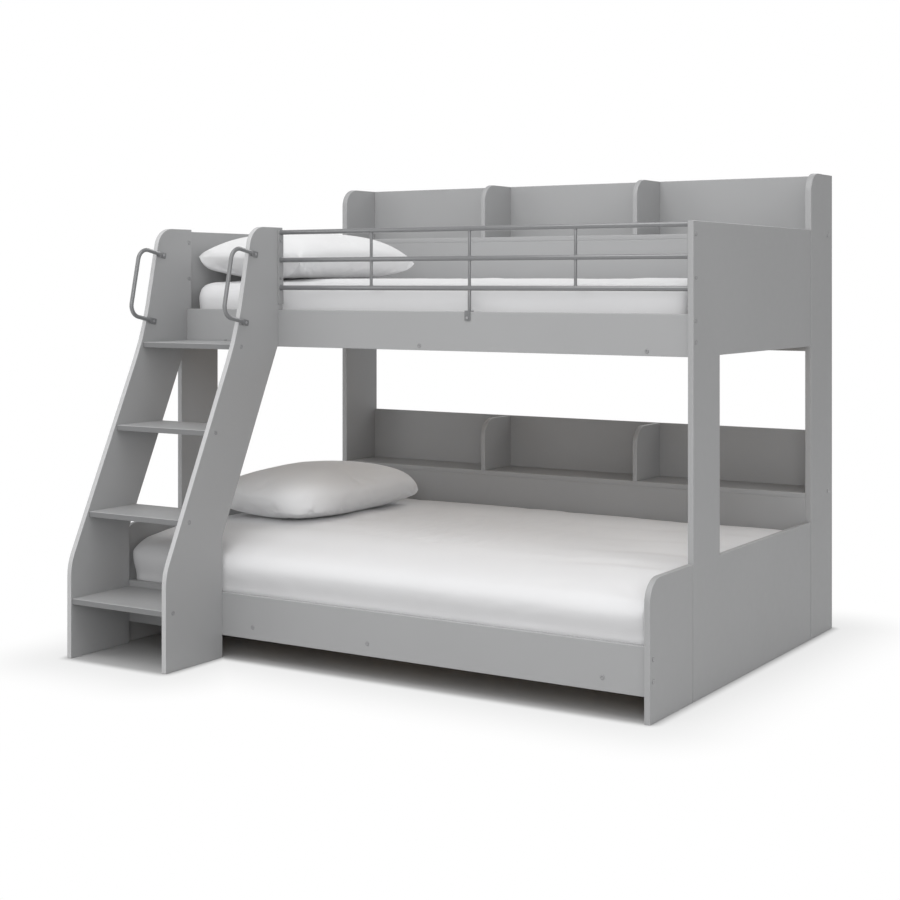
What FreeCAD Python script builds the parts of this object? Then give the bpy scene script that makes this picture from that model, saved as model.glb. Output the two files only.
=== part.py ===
import FreeCAD, Part
import math
import os
import re
import Sketcher

# Triple bunk bed: a single bunk over a wider one, a ladder at the left front and a shelf unit
# behind. X runs along the bed, Y to the back, Z up. Sizes are in millimetres.

V = FreeCAD.Vector
doc = FreeCAD.newDocument("triple_bunk_bed")
dims = doc.addObject("Spreadsheet::Sheet", "dims")

SIZES = (
    ("bed_length", 2016, "over the outer faces of the end panels"),
    ("panel_t", 18, "end, extension and ladder panels, fascias, shelves, dividers, treads"),
    ("end_depth", 948, "front to back of an end panel"),
    ("extension", 282, "how far the lower bunk stands out in front of the upper one"),
    ("end_height", 1405, "top of the end panels"),
    ("upper_end", 400, "height of the upper half of an end panel"),
    ("post_width", 188, "front post of an end panel"),
    ("low_height", 402, "top of the lower half of an end panel"),
    ("corner_r", 68, "rounded front corner of the extension and tall panels"),
    ("tall_t", 22, "thickness of the tall panels"),
    ("tall_height", 1602, "top of the shelf unit"),
    ("shelf_depth", 205, "front to back of the shelf unit"),
    ("rail_t", 20, "thickness of the front rails"),
    ("upper_recess", 9, "upper rail behind the end panels' front edge"),
    ("upper_rail_tall", 126, "height of the upper rail"),
    ("lower_recess", 12, "lower rail behind the extension panels' front edge"),
    ("lower_rail_low", 73, "underside of the lower rail and the lower fascia"),
    ("lower_rail_tall", 140, "height of the lower rail"),
    ("fascia_drop", 17, "upper fascia below the underside of the upper rail"),
    ("upper_space", 204, "top of the shelf unit above its upper shelf"),
    ("lower_shelf_top", 500, "top face of the lower shelf"),
    ("lower_space", 198, "lower back board and dividers above their shelf"),
    ("back_t", 15, "thickness of the back boards"),
    ("divider_r", 66, "rounded front corner of a divider"),
    ("ladder_width", 398, "clear width between the ladder sides"),
    ("ladder_foot", 530, "foot of the ladder in front of the end panels"),
    ("ladder_rise", 7, "top of the ladder sides above the end panels"),
    ("knee_low", 306, "height where the ladder's front edge starts to slope"),
    ("knee_drop", 360, "bend in the front edge below the ladder's top"),
    ("knee_reach", 197, "bend of the front edge in front of the end panels"),
    ("crest_reach", 123, "top corner of the front edge in front of the end panels"),
    ("hook", 32, "how far the ladder's top reaches in over the rail"),
    ("heel", 372, "height where the ladder's back edge starts to slope"),
    ("knee_low_r", 180, "rounding of the low knee"),
    ("knee_high_r", 900, "rounding of the high bend"),
    ("crest_r", 70, "rounding of the top front corner"),
    ("tread_first", 194, "top of the lowest tread"),
    ("tread_last", 15, "top of the highest tread above the underside of the upper rail"),
    ("tread_depth", 212, "front to back of the upper three treads"),
    ("tread_setback", 4, "tread behind the ladder's front edge"),
    ("tube_d", 16, "guard tubes"),
    ("upright_d", 10, "guard uprights"),
    ("strap_t", 4, "thickness of the flat bars of the guard"),
    ("strap_width", 26, "width of the guard's end bars"),
    ("strap_rise", 19, "end bars of the guard above the upper rail"),
    ("strap_drop", 1, "end bars of the guard below the end panels' top"),
    ("tube_rise", 56, "bottom guard tube above the lower end of the end bars"),
    ("tube_drop", 9, "top guard tube below the upper end of the end bars"),
    ("bracket_width", 16, "width of the bracket on the upper rail"),
    ("bracket_lap", 39, "bracket down over the front of the upper rail"),
    ("bracket_bend", 8, "rise from the rail's top to the bracket's bend"),
    ("bracket_slope", 22, "height of the sloping part of the bracket"),
    ("handle_d", 14, "grab handle tube"),
    ("handle_drop", 89, "upper leg of a handle below the ladder's top corner, along the edge"),
    ("handle_span", 233, "from leg to leg of a handle"),
    ("handle_reach", 89, "handle in front of the ladder's edge"),
    ("handle_bend", 40, "bend radius of a handle"),
    ("tab_length", 24, "flat end of a handle"),
    ("tab_width", 20, "width of the flat end"),
    ("tab_t", 4, "thickness of the flat end"),
    ("taper", 18, "length over which the tube is pressed flat"),
    ("slat_width", 70, "width of a slat"),
    ("slat_t", 14, "thickness of a slat"),
    ("slat_play", 2, "slat short of the boards at each end"),
    ("slat_margin", 25, "first slat from the end panel"),
    ("batten", 28, "square batten that carries the slats"),
    ("batten_play", 4, "batten short of the end panels"),
    ("stretcher_width", 40, "width of a cross stretcher"),
    ("stretcher_tall", 28, "height of a cross stretcher"),
    ("upper_stretcher_rise", 1, "upper stretchers above the underside of their rail"),
    ("lower_stretcher_rise", 25, "lower stretchers above the underside of their rail"),
    ("upper_batten_gap", 2, "upper battens above their stretchers"),
    ("lower_batten_gap", 10, "lower battens above their stretchers"),
    ("stretcher_left", 198, "left stretchers from the left end panel"),
    ("stretcher_right", 138, "right stretchers from the right end panel"),
    ("stretcher_extra", 364, "extra lower stretcher from the left one"),
    ("beam_width", 40, "width of the lower centre beam and its leg"),
    ("bolt_d", 6, "shank of a bolt"),
    ("bolt_head_d", 14, "head of a bolt"),
    ("bolt_head_t", 2, "height of a bolt head"),
    ("bolt_bite", 36, "bolt into the end of a board"),
    ("bolt_play", 0.25, "hole wider than its bolt or dowel, all round"),
    ("nut_d", 10, "barrel nut"),
    ("nut_length", 14, "length of a barrel nut"),
    ("dowel_d", 8, "dowel between panels"),
    ("dowel_half", 25, "half the length of a dowel"),
    ("dowel_seat", 9, "dowel into a tall panel's face"),
    ("screw_d", 4, "shank of a handle screw"),
    ("screw_head_d", 9, "head of a handle screw"),
    ("screw_bite", 12, "screw into the board"),
    ("rail_bolt_rise", 44, "lower bolt above the underside of a rail"),
    ("upper_bolt_drop", 20, "upper bolt below the top of the upper rail"),
    ("lower_bolt_drop", 34, "upper bolt below the top of the lower rail"),
    ("guard_bolt_rise", 88, "lower bolt above the lower end of a guard end bar"),
    ("guard_bolt_drop", 38, "upper bolt below the upper end of a guard end bar"),
    ("tread_bolt", 28, "tread bolt behind the tread's front, shelf bolt before the shelf's back"),
    ("tread_dowel", 60, "tread dowel before the tread's back"),
    ("mattress_play", 14, "mattresses clear of each end panel"),
    ("upper_play", 8, "upper mattress clear of the ladder's hook and of the fascia"),
    ("lower_play", 4, "lower mattress clear of the rail and of the fascia"),
    ("upper_mattress_t", 150, "single mattress at its edge"),
    ("lower_mattress_t", 200, "wide mattress at its edge"),
    ("crown", 10, "rise of a mattress to its middle"),
    ("mattress_r", 45, "rounded top edge of a mattress"),
    ("mattress_corner", 45, "rounded corner of a mattress, seen from above"),
    ("mattress_draw", 4, "sides of a mattress drawn in at half height"),
    ("soft_gap", 0.3, "bedding clear of what it lies on"),
    ("pillow_length", 680, "across the bed"),
    ("pillow_width", 460, "along the bed"),
    ("pillow_high", 170, "thickness of a pillow"),
    ("pillow_draw", 0.05, "sides of a pillow drawn in between its corners, share of its half size"),
    ("upper_pillow_head", 4, "upper pillow from the head end of its mattress"),
    ("lower_pillow_head", 40, "lower pillow from the head end of its mattress"),
    ("pillow_front", 30, "both pillows behind the front edge of the upper mattress"),
)

# What follows from the sizes above. Depths in outlines are from the end panels' front edge; front is
# that edge in the part's own frame, which has its origin under the middle of the whole bed.
FOLLOWS = (
    ("front", "(ladder_foot - end_depth - shelf_depth) / 2"),
    ("half_length", "bed_length / 2"),
    ("inner_x", "half_length - panel_t"),
    ("tall_x", "half_length - tall_t"),
    ("back", "front + end_depth"),
    ("board_back", "back + shelf_depth - back_t"),
    ("upper_rail_low", "end_height - upper_end"),
    ("upper_rail_top", "upper_rail_low + upper_rail_tall"),
    ("upper_rail_y", "front + upper_recess"),
    ("upper_inside", "upper_rail_y + rail_t"),
    ("lower_rail_y", "front + lower_recess - extension"),
    ("lower_inside", "lower_rail_y + rail_t"),
    ("upper_fascia_low", "upper_rail_low - fascia_drop"),
    ("upper_shelf_top", "tall_height - upper_space"),
    ("lower_back_top", "lower_shelf_top + lower_space"),
    ("bay", "2 * tall_x / 3"),
    ("ladder_left_x", "-inner_x"),
    ("ladder_right_x", "panel_t + ladder_width - inner_x"),
    ("ladder_height", "end_height + ladder_rise"),
    ("knee_high", "ladder_height - knee_drop"),
    ("tread_pitch", "(upper_rail_low + tread_last - tread_first) / 3"),
    ("guard_y", "upper_rail_y + rail_t / 2"),
    ("guard_left", "ladder_right_x + panel_t"),
    ("guard_bay", "(inner_x - guard_left) / 4"),
    ("strap_low", "upper_rail_top + strap_rise"),
    ("strap_top", "end_height - strap_drop"),
    ("guard_top", "strap_top - tube_drop"),
    ("guard_bottom", "strap_low + tube_rise"),
    ("guard_middle", "(guard_top + guard_bottom) / 2"),
    ("bracket_low", "upper_rail_top - bracket_lap"),
    ("upper_stretcher_low", "upper_rail_low + upper_stretcher_rise"),
    ("lower_stretcher_low", "lower_rail_low + lower_stretcher_rise"),
    ("upper_batten_low", "upper_stretcher_low + stretcher_tall + upper_batten_gap"),
    ("lower_batten_low", "lower_stretcher_low + stretcher_tall + lower_batten_gap"),
    ("upper_slat_low", "upper_batten_low + batten"),
    ("lower_slat_low", "lower_batten_low + batten"),
    ("stretcher_left_x", "stretcher_left - inner_x"),
    ("stretcher_right_x", "inner_x - stretcher_right"),
    ("stretcher_middle_x", "(stretcher_left_x + stretcher_right_x) / 2"),
    ("lower_middle", "(lower_inside + back) / 2"),
    ("mattress_length", "2 * (inner_x - mattress_play)"),
    ("upper_mattress_front", "front + hook + upper_play"),
    ("lower_mattress_front", "lower_inside + lower_play"),
    ("upper_pillow_x", "upper_pillow_head + pillow_width / 2 - mattress_length / 2"),
    ("lower_pillow_x", "lower_pillow_head + pillow_width / 2 - mattress_length / 2"),
    ("pillow_y", "upper_mattress_front + pillow_front + pillow_length / 2"),
)

for row, (alias, value, note) in enumerate(SIZES, 1):
    dims.set(f"A{row}", note)
    dims.set(f"B{row}", str(value))
    dims.setAlias(f"B{row}", alias)
for row, (alias, text) in enumerate(FOLLOWS, len(SIZES) + 1):
    dims.set(f"B{row}", "=" + text)
    dims.setAlias(f"B{row}", alias)
doc.recompute()
ALIASES = {line[0] for line in SIZES + FOLLOWS}

pieces = {}
holes = {}


def formula(text):
    """A formula in the sheet's names, as the sheet's own words."""
    def spell(match):
        word = match.group(0)
        return "dims." + word if word in ALIASES else word
    return re.sub(r"[a-z][a-z_]*", spell, text)


def bind(thing, **texts):
    for prop, text in texts.items():
        thing.setExpression(prop, formula(text))


def place(thing, x, y, z):
    for axis, text in zip("xyz", (x, y, z)):
        thing.setExpression("Placement.Base." + axis, formula(text))


def box(name, x, y, z, length, depth, height):
    block = doc.addObject("Part::Box", name)
    bind(block, Length=length, Width=depth, Height=height)
    place(block, x, y, z)
    return block


def board(name, *sizes):
    pieces[name] = box(name, *sizes)


def group(name, members):
    bundle = doc.addObject("Part::Compound", name)
    bundle.Links = members
    pieces[name] = bundle


def panel(name, x, thickness, outline, rounds=()):
    """A board cut to an outline of (depth, height) corners, some of them rounded."""
    body = doc.addObject("PartDesign::Body", name)
    place(body, x, "front", "0")
    sketch = body.newObject("Sketcher::SketchObject", name + "_outline")
    plane = next(item for item in body.Origin.OriginFeatures if item.Role == "YZ_Plane")
    sketch.AttachmentSupport = [(plane, "")]
    sketch.MapMode = "FlatFace"
    count = len(outline)
    start = [V(100 * math.cos(2 * math.pi * i / count), 100 * math.sin(2 * math.pi * i / count), 0)
             for i in range(count)]
    for i in range(count):
        sketch.addGeometry(Part.LineSegment(start[i], start[(i + 1) % count]))
    for i in range(count):
        sketch.addConstraint(Sketcher.Constraint("Coincident", i, 2, (i + 1) % count, 1))
    for i, corner in enumerate(outline):
        for kind, text, value in zip(("DistanceX", "DistanceY"), corner, start[i]):
            index = sketch.addConstraint(Sketcher.Constraint(kind, -1, 1, i, 1, value))
            sketch.setExpression(f"Constraints[{index}]", formula(text))
    pad = body.newObject("PartDesign::Pad", name + "_pad")
    pad.Profile = sketch
    bind(pad, Length=thickness)
    for index, radius in rounds:
        doc.recompute()
        corner = sketch.Geometry[index].StartPoint
        tip = body.Tip
        names = [f"Edge{i}" for i, edge in enumerate(tip.Shape.Edges, 1)
                 if all(math.hypot(v.Y - corner.x, v.Z - corner.y) < 1e-4 for v in edge.Vertexes)]
        fillet = body.newObject("PartDesign::Fillet", f"{name}_round_{index}")
        fillet.Base = (tip, names)
        bind(fillet, Radius=radius)
    pieces[name] = body


def solid(name, shape):
    """A piece whose form is worked out below from the sheet's numbers."""
    feature = doc.addObject("Part::Feature", name)
    feature.Shape = shape
    pieces[name] = feature


# End, extension and tall panels.
END = (("0", "0"), ("end_depth", "0"), ("end_depth", "low_height"), ("post_width", "low_height"),
       ("post_width", "upper_rail_low"), ("end_depth", "upper_rail_low"), ("end_depth", "end_height"),
       ("0", "end_height"))
EXTENSION = (("-extension", "0"), ("0", "0"), ("0", "low_height"), ("-extension", "low_height"))
TALL = (("end_depth", "0"), ("end_depth + shelf_depth", "0"),
        ("end_depth + shelf_depth", "tall_height"), ("end_depth", "tall_height"))
for side, panel_x, shelf_x in (("left", "-half_length", "-half_length"), ("right", "inner_x", "tall_x")):
    panel(side + "_end_panel", panel_x, "panel_t", END)
    panel(side + "_extension_panel", panel_x, "panel_t", EXTENSION, ((3, "corner_r"),))
    panel(side + "_tall_panel", shelf_x, "tall_t", TALL, ((3, "corner_r"),))

# Front rails.
board("upper_front_rail", "-inner_x", "upper_rail_y", "upper_rail_low",
      "2 * inner_x", "rail_t", "upper_rail_tall")
board("lower_front_rail", "-inner_x", "lower_rail_y", "lower_rail_low",
      "2 * inner_x", "rail_t", "lower_rail_tall")

# Shelf unit: for each level a fascia below the shelf, the shelf, a back board and two dividers.
for level, fascia_low, shelf_top, board_top in (
        ("upper", "upper_fascia_low", "upper_shelf_top", "tall_height"),
        ("lower", "lower_rail_low", "lower_shelf_top", "lower_back_top")):
    under = shelf_top + " - panel_t"
    board(level + "_back_fascia", "-tall_x", "back", fascia_low,
          "2 * tall_x", "panel_t", f"{under} - {fascia_low}")
    board(level + "_shelf", "-tall_x", "back", under, "2 * tall_x", "shelf_depth - back_t", "panel_t")
    board(level + "_back_board", "-tall_x", "board_back", under,
          "2 * tall_x", "back_t", f"{board_top} - ({under})")
    for side, middle in (("left", "-bay / 2"), ("right", "bay / 2")):
        rear = "end_depth + shelf_depth - back_t"
        panel(f"{level}_{side}_divider", f"{middle} - panel_t / 2", "panel_t",
              (("end_depth", shelf_top), (rear, shelf_top), (rear, board_top), ("end_depth", board_top)),
              ((3, "divider_r"),))

# Ladder: two sides that hook over the upper rail and stand against the lower one, and four treads.
TOE = "lower_recess - extension"
LADDER = (("-ladder_foot", "0"), (TOE, "0"), (TOE, "heel"), ("upper_recess", "upper_rail_low"),
          ("upper_recess", "upper_rail_top"), ("hook", "upper_rail_top"), ("hook", "ladder_height"),
          ("-crest_reach", "ladder_height"), ("-knee_reach", "knee_high"), ("-ladder_foot", "knee_low"))
for side in ("left", "right"):
    panel(f"ladder_{side}_side", f"ladder_{side}_x", "panel_t", LADDER,
          ((7, "crest_r"), (8, "knee_high_r"), (9, "knee_low_r")))
SLOPE = "(ladder_foot - knee_reach) / (knee_high - knee_low)"
for number in range(4):
    top = f"tread_first + {number} * tread_pitch"
    tread_y = f"front - ladder_foot + tread_setback + max({top} - knee_low; 0) * {SLOPE}"
    depth = "tread_depth" if number else f"lower_rail_y - ({tread_y})"
    board(f"tread_{number + 1}", "ladder_left_x + panel_t", tread_y, f"{top} - panel_t",
          "ladder_width", depth, "panel_t")

# Guard rail: end bars, tubes between them and a bracket bent forward onto the rail's front.
for side, strap_x in (("left", "guard_left"), ("right", "inner_x - strap_t")):
    board(f"guard_{side}_end_bar", strap_x, "guard_y - strap_width / 2", "strap_low",
          "strap_t", "strap_width", "strap_top - strap_low")
for level in ("top", "middle", "bottom"):
    tube = doc.addObject("Part::Cylinder", f"guard_{level}_tube")
    bind(tube, Radius="tube_d / 2", Height="inner_x - guard_left - 2 * strap_t")
    tube.Placement.Rotation = FreeCAD.Rotation(V(0, 1, 0), 90)
    place(tube, "guard_left + strap_t", "guard_y", "guard_" + level)
    pieces[f"guard_{level}_tube"] = tube
BACK = "upper_recess + rail_t / 2 + strap_t / 2"
BEND = "upper_rail_top + bracket_bend"
panel("guard_bracket", "guard_left + 2 * guard_bay - bracket_width / 2", "bracket_width",
      (("upper_recess", "bracket_low"), ("upper_recess", BEND), (BACK, BEND + " + bracket_slope"),
       (BACK, "guard_bottom - tube_d / 2"), (BACK + " - strap_t", "guard_bottom - tube_d / 2"),
       (BACK + " - strap_t", BEND + " + bracket_slope"), ("upper_recess - strap_t", BEND),
       ("upper_recess - strap_t", "bracket_low")))

# Bed bases: battens along the rail and the fascia, slats across them, stretchers underneath.
SLATS = 13
SLAT_STEP = f"(2 * inner_x - 2 * slat_margin - slat_width) / {SLATS - 1}"
STRETCHERS = {
    "upper": ("stretcher_left_x", "stretcher_middle_x", "stretcher_right_x"),
    "lower": ("stretcher_left_x", "stretcher_left_x + stretcher_extra", "stretcher_middle_x",
              "stretcher_right_x"),
}
for level in ("upper", "lower"):
    inside = level + "_inside"
    for where, batten_y in (("front", inside), ("back", "back - batten")):
        board(f"{level}_{where}_batten", "batten_play - inner_x", batten_y, level + "_batten_low",
              "2 * (inner_x - batten_play)", "batten", "batten")
    group(level + "_slats", [
        box(f"{level}_slat_{i}", f"slat_margin - inner_x + {i} * {SLAT_STEP}", inside + " + slat_play",
            level + "_slat_low", "slat_width", f"back - {inside} - 2 * slat_play", "slat_t")
        for i in range(SLATS)])
    group(level + "_stretchers", [
        box(f"{level}_stretcher_{i}", f"{x} - stretcher_width / 2", inside, level + "_stretcher_low",
            "stretcher_width", f"back - {inside}", "stretcher_tall")
        for i, x in enumerate(STRETCHERS[level])])
STRETCHER_TOP = "lower_stretcher_low + stretcher_tall"
board("centre_beam", "batten_play - inner_x", "lower_middle - beam_width / 2", STRETCHER_TOP,
      "2 * (inner_x - batten_play)", "beam_width", f"lower_slat_low - ({STRETCHER_TOP})")
board("centre_leg", "stretcher_middle_x - beam_width / 2", "lower_middle - beam_width / 2", "0",
      "beam_width", "beam_width", "lower_stretcher_low")

doc.recompute()


SHANK_SIDES = 8
HEAD_SIDES = 12


def extent(name):
    """Bounding box of a piece as it stands."""
    return pieces[name].Shape.BoundBox


def rod(start, way, depth, diameter, sides):
    """Straight rod of a few flat sides, near enough round at the size of a fastener."""
    side = V(0, 0, 1) if abs(way.z) < 0.5 else V(1, 0, 0)
    over = way.cross(side)
    turns = [math.pi * (2 * k + 1) / sides for k in range(sides + 1)]
    rim = [start + (side * math.cos(a) + over * math.sin(a)) * (diameter / 2) for a in turns]
    return Part.Face(Part.makePolygon(rim)).extrude(way * depth)


def drill(names, start, way, depth, diameter):
    """Keep a hole clear in each of the named boards."""
    cutter = rod(start, way, depth + dims.bolt_play, diameter + 2 * dims.bolt_play, SHANK_SIDES)
    for name in names:
        holes.setdefault(name, []).append(cutter)


def pin(start, way, depth, diameter, head_d, head_t):
    """A shank with a flat round head that sits on the face at start."""
    head = rod(start, -way, head_t, head_d, HEAD_SIDES)
    return rod(start, way, depth, diameter, SHANK_SIDES).fuse(head).removeSplitter()


def bolt(start, way, depth, names):
    drill(names, start, way, depth, dims.bolt_d)
    return pin(start, way, depth, dims.bolt_d, dims.bolt_head_d, dims.bolt_head_t)


def dowel(middle, way, before, after, names):
    start = middle - way * before
    drill(names, start - way * dims.bolt_play, way, before + after + dims.bolt_play, dims.dowel_d)
    return rod(start, way, before + after, dims.dowel_d, SHANK_SIDES)


SIDES = (("left", -1), ("right", 1))
BACKWARD = V(0, 1, 0)
half = dims.half_length

# Rails: two bolts through each end panel into barrel nuts in the rail.
rail_bolts = []
barrel_nuts = []
for level, panel_name, drop in (("upper", "end_panel", dims.upper_bolt_drop),
                                ("lower", "extension_panel", dims.lower_bolt_drop)):
    rail = extent(level + "_front_rail")
    for side, sign in SIDES:
        for height in (rail.ZMin + dims.rail_bolt_rise, rail.ZMax - drop):
            start = V(sign * half, rail.Center.y, height)
            reach = dims.panel_t + dims.bolt_bite
            nut_x = sign * (half - reach - dims.nut_d / 2 - dims.bolt_play)
            rail_bolts.append(bolt(start, V(-sign, 0, 0), reach,
                                   (f"{side}_{panel_name}", level + "_front_rail")))
            nut_start = V(nut_x, rail.YMax, height)
            barrel_nuts.append(rod(nut_start, -BACKWARD, dims.nut_length, dims.nut_d, SHANK_SIDES))
            drill((level + "_front_rail",), nut_start, -BACKWARD, dims.nut_length, dims.nut_d)

# Stretchers: a bolt through the rail and one through the fascia into each end.
stretcher_bolts = []
for level in ("upper", "lower"):
    rail = extent(level + "_front_rail")
    fascia = extent(level + "_back_fascia")
    for stretcher in pieces[level + "_stretchers"].Shape.Solids:
        middle = stretcher.BoundBox.Center
        for face, way, name in ((rail.YMin, BACKWARD, level + "_front_rail"),
                                (fascia.YMax, -BACKWARD, level + "_back_fascia")):
            depth = abs(rail.YLength if way == BACKWARD else fascia.YLength) + dims.bolt_bite
            stretcher_bolts.append(bolt(V(middle.x, face, middle.z), way, depth,
                                        (name, level + "_stretchers")))

# Guard: bolts with nuts through the right end panel and the ladder's right side. The ladder's left
# side is bolted to the end panel at the same heights.
guard_bolts = []
ladder_bolts = []
guard_y = dims.guard_y
ladder = extent("ladder_right_side")
for height in (dims.strap_low + dims.guard_bolt_rise, dims.strap_top - dims.guard_bolt_drop):
    reach = dims.panel_t + dims.strap_t
    for face, sign, names in ((half, -1, ("right_end_panel", "guard_right_end_bar")),
                              (ladder.XMin, 1, ("ladder_right_side", "guard_left_end_bar"))):
        way = V(sign, 0, 0)
        start = V(face, guard_y, height)
        nut = rod(start + way * reach, way, dims.strap_t, dims.nut_d, HEAD_SIDES)
        guard_bolts.append(bolt(start, way, reach, names).fuse(nut).removeSplitter())
    start = V(-half, guard_y, height)
    way = V(1, 0, 0)
    sleeve = rod(start + way * 2 * dims.panel_t, way, dims.bolt_head_t, dims.bolt_head_d, HEAD_SIDES)
    ladder_bolts.append(bolt(start, way, 2 * dims.panel_t, ("left_end_panel", "ladder_left_side"))
                        .fuse(sleeve).removeSplitter())

# Treads: a bolt and a dowel in each end.
tread_bolts = []
dowels = []
for number in range(1, 5):
    tread = extent(f"tread_{number}")
    bolt_y = tread.YMin + dims.tread_bolt
    dowel_y = tread.YMax - dims.tread_dowel
    for side, sign in SIDES:
        names = (f"ladder_{side}_side", f"tread_{number}")
        inner = tread.XMax if sign > 0 else tread.XMin
        start = V(inner + sign * dims.panel_t, bolt_y, tread.Center.z)
        tread_bolts.append(bolt(start, V(-sign, 0, 0), dims.panel_t + dims.bolt_bite, names))
        dowels.append(dowel(V(inner, dowel_y, tread.Center.z), V(sign, 0, 0),
                            dims.dowel_half, dims.dowel_seat, names))

# Panels that meet edge to edge, and the fascias' ends, sit on dowels.
shelf_bolts = []
for side, sign in SIDES:
    end = extent(f"{side}_end_panel")
    tall_names = (f"{side}_end_panel", f"{side}_tall_panel")
    extension_names = (f"{side}_end_panel", f"{side}_extension_panel")
    low = dims.low_height
    high = dims.upper_end
    for share in (0.2, 0.8):
        dowels.append(dowel(V(end.Center.x, end.YMin, share * low), BACKWARD,
                            dims.dowel_half, dims.dowel_half, extension_names))
    for height in (0.5 * low, end.ZMax - 0.5 * high):
        dowels.append(dowel(V(end.Center.x, end.YMax, height), BACKWARD,
                            dims.dowel_half, dims.dowel_half, tall_names))
    for level in ("upper", "lower"):
        fascia = extent(level + "_back_fascia")
        shelf = extent(level + "_shelf")
        face = sign * shelf.XMax
        for share in (0.2, 0.8):
            height = fascia.ZMin + share * fascia.ZLength
            dowels.append(dowel(V(face, fascia.Center.y, height), V(sign, 0, 0), dims.dowel_half,
                                dims.dowel_seat, (level + "_back_fascia", f"{side}_tall_panel")))
        start = V(sign * half, shelf.YMax - dims.tread_bolt, shelf.Center.z)
        shelf_bolts.append(bolt(start, V(-sign, 0, 0), dims.tall_t + dims.bolt_bite,
                                (f"{side}_tall_panel", level + "_shelf")))


def stack(outlines):
    """Closed solid of flat facets between level outlines that have as many points each."""
    faces = [Part.Face(Part.makePolygon(ring + ring[:1])) for ring in (outlines[0], outlines[-1])]
    for under, over in zip(outlines, outlines[1:]):
        for k in range(len(under)):
            n = (k + 1) % len(under)
            for corners in ((under[k], under[n], over[n]), (under[k], over[n], over[k])):
                faces.append(Part.Face(Part.makePolygon(corners + corners[:1])))
    return Part.Solid(Part.Shell(faces))


def hoop(centre, u, v, half_u, half_v, square=False):
    """Points round a tube of twelve flats, or round it pressed to a rectangle."""
    points = []
    for k in range(12):
        spot = [math.cos(math.pi * (2 * k + 1) / 12), math.sin(math.pi * (2 * k + 1) / 12)]
        if square:
            spot = [max(-1, min(1, math.sqrt(2) * value)) for value in spot]
        points.append(centre + u * half_u * spot[0] + v * half_v * spot[1])
    return points


def flat_face(points):
    return Part.Face(Part.makePolygon(points + points[:1]))


def screw(start, way, names):
    depth = dims.tab_t + dims.screw_bite
    drill(names, start, way, depth, dims.screw_d)
    return pin(start, way, depth, dims.screw_d, dims.screw_head_d, dims.bolt_head_t)


# Grab handles: a bent tube in front of the ladder's edge, its ends pressed flat on the side's face.
handle_screws = []
crest = V(0, dims.front - dims.crest_reach, dims.ladder_height)
along = (V(0, dims.front - dims.knee_reach, dims.knee_high) - crest).normalize()
out = V(0, along.z, -along.y)
across = V(1, 0, 0)
for side in ("left", "right"):
    face = V(extent(f"ladder_{side}_side").XMax, 0, 0)
    lift = face + across * (dims.handle_d / 2)
    feet = [crest + along * dims.handle_drop, crest + along * (dims.handle_drop + dims.handle_span)]
    knees = [foot + out * dims.handle_reach for foot in feet]
    bend = dims.handle_bend
    radius = dims.handle_d / 2
    pipe = []
    name = side + "_grab_handle"
    for foot, knee, inward in ((feet[0], knees[0], along), (feet[1], knees[1], -along)):
        turn = lift + knee - out * bend
        start = flat_face(hoop(lift + foot, along, across, radius, radius))
        pipe.append(start.extrude(out * (dims.handle_reach - bend)))
        start = flat_face(hoop(turn, along, across, radius, radius))
        pipe.append(start.revolve(turn + inward * bend, out.cross(inward), 90))
        flat = face + across * (dims.tab_t / 2) + foot - out * dims.taper
        edge = hoop(flat, along, across, dims.tab_width / 2, dims.tab_t / 2, True)
        pipe.append(stack([hoop(lift + foot, along, across, radius, radius), edge]))
        pipe.append(flat_face(edge).extrude(-out * dims.tab_length))
        hole = face + across * dims.tab_t + foot - out * (dims.taper + dims.tab_length / 2)
        handle_screws.append(screw(hole, -across, (name, f"ladder_{side}_side")))
    start = flat_face(hoop(lift + knees[0] + along * bend, out, across, radius, radius))
    pipe.append(start.extrude(along * (dims.handle_span - 2 * bend)))
    handle = pipe[0].fuse(pipe[1:])
    solid(name, handle.removeSplitter())

# Bracket: one screw into the upper rail.
bracket = extent("guard_bracket")
screw_z = (dims.bracket_low + dims.upper_rail_top) / 2
bracket_screw = screw(V(bracket.Center.x, bracket.YMin, screw_z), BACKWARD,
                      ("guard_bracket", "upper_front_rail"))

# Guard uprights: pieces between the tubes, their ends hollowed to the tubes.
uprights = []
tubes = [pieces[f"guard_{level}_tube"].Shape for level in ("top", "middle", "bottom")]
levels = (dims.guard_top, dims.guard_middle, dims.guard_bottom)
run = extent("guard_left_end_bar").XMin, extent("guard_right_end_bar").XMax
for bay in (1, 2, 3):
    x = run[0] + (run[1] - run[0]) * bay / 4
    for top, bottom in zip(levels, levels[1:]):
        bar = Part.makeCylinder(dims.upright_d / 2, top - bottom, V(x, guard_y, bottom))
        uprights.append(bar.cut(tubes))

for name, members in (("guard_uprights", uprights), ("rail_bolts", rail_bolts),
                      ("barrel_nuts", barrel_nuts), ("stretcher_bolts", stretcher_bolts),
                      ("guard_bolts", guard_bolts), ("ladder_bolts", ladder_bolts),
                      ("tread_bolts", tread_bolts), ("panel_dowels", dowels),
                      ("shelf_bolts", shelf_bolts), ("handle_screws", handle_screws),
                      ("bracket_screw", [bracket_screw])):
    solid(name, Part.makeCompound([item.Solids[0] for item in members]))


def rounded(length, width, radius, height):
    """Points round a level rectangle with rounded corners, centred on the axis."""
    steps = 4
    points = []
    for quarter, (side_x, side_y) in enumerate(((1, 1), (-1, 1), (-1, -1), (1, -1))):
        for step in range(steps + 1):
            angle = math.pi / 2 * (quarter + step / steps)
            points.append(V(side_x * (length / 2 - radius) + radius * math.cos(angle),
                            side_y * (width / 2 - radius) + radius * math.sin(angle), height))
    return points


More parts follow.
